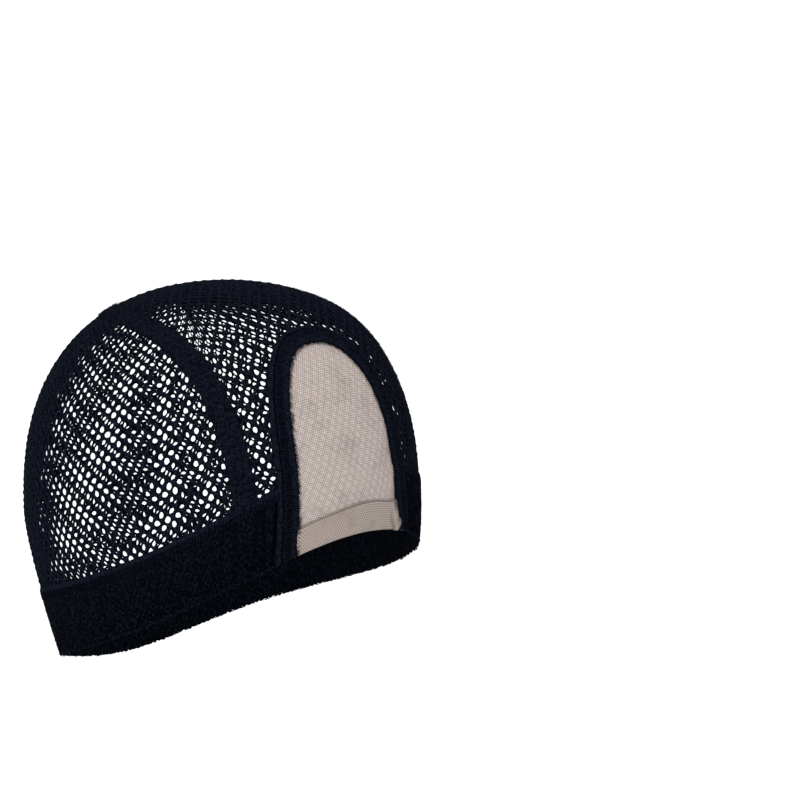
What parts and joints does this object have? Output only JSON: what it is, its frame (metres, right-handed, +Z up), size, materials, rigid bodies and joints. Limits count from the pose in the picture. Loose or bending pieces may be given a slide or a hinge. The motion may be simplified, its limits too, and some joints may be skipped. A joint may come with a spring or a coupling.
{
  "type": "wig cap",
  "caption": "Open net dome cap with an elastic band round its rim, an arched seam tape over the crown and a U-shaped lace window at the front, worn under or as the base of a wig.",
  "frame": {"origin": "inside of the crown's top on the mid-plane, where the cap sits on the head", "axes": "+Z up, -Y towards the front with the lace window, +X towards the wearer's left"},
  "size_m": [0.1592, 0.1782, 0.1784],
  "materials": {
    "black_net": "fuzzy black polyester net yarn",
    "black_tape": "matte knitted tape",
    "black_band": "doubled elastic net, matte",
    "black_overlock": "ribbed overlock stitches",
    "black_binding": "ribbed knitted binding",
    "beige_lace": "fine sheer lace",
    "beige_double_lace": "fine lace folded double"
  },
  "bodies": {
    "root": {"back_net": "black_net", "crown_net": "black_net", "crown_seam_tape": "black_tape", "hem_band": "black_band", "band_overlock": "black_overlock", "window_binding": "black_binding", "lace_panel": "beige_lace", "lace_hem": "beige_double_lace"}
  },
  "joints": []
}
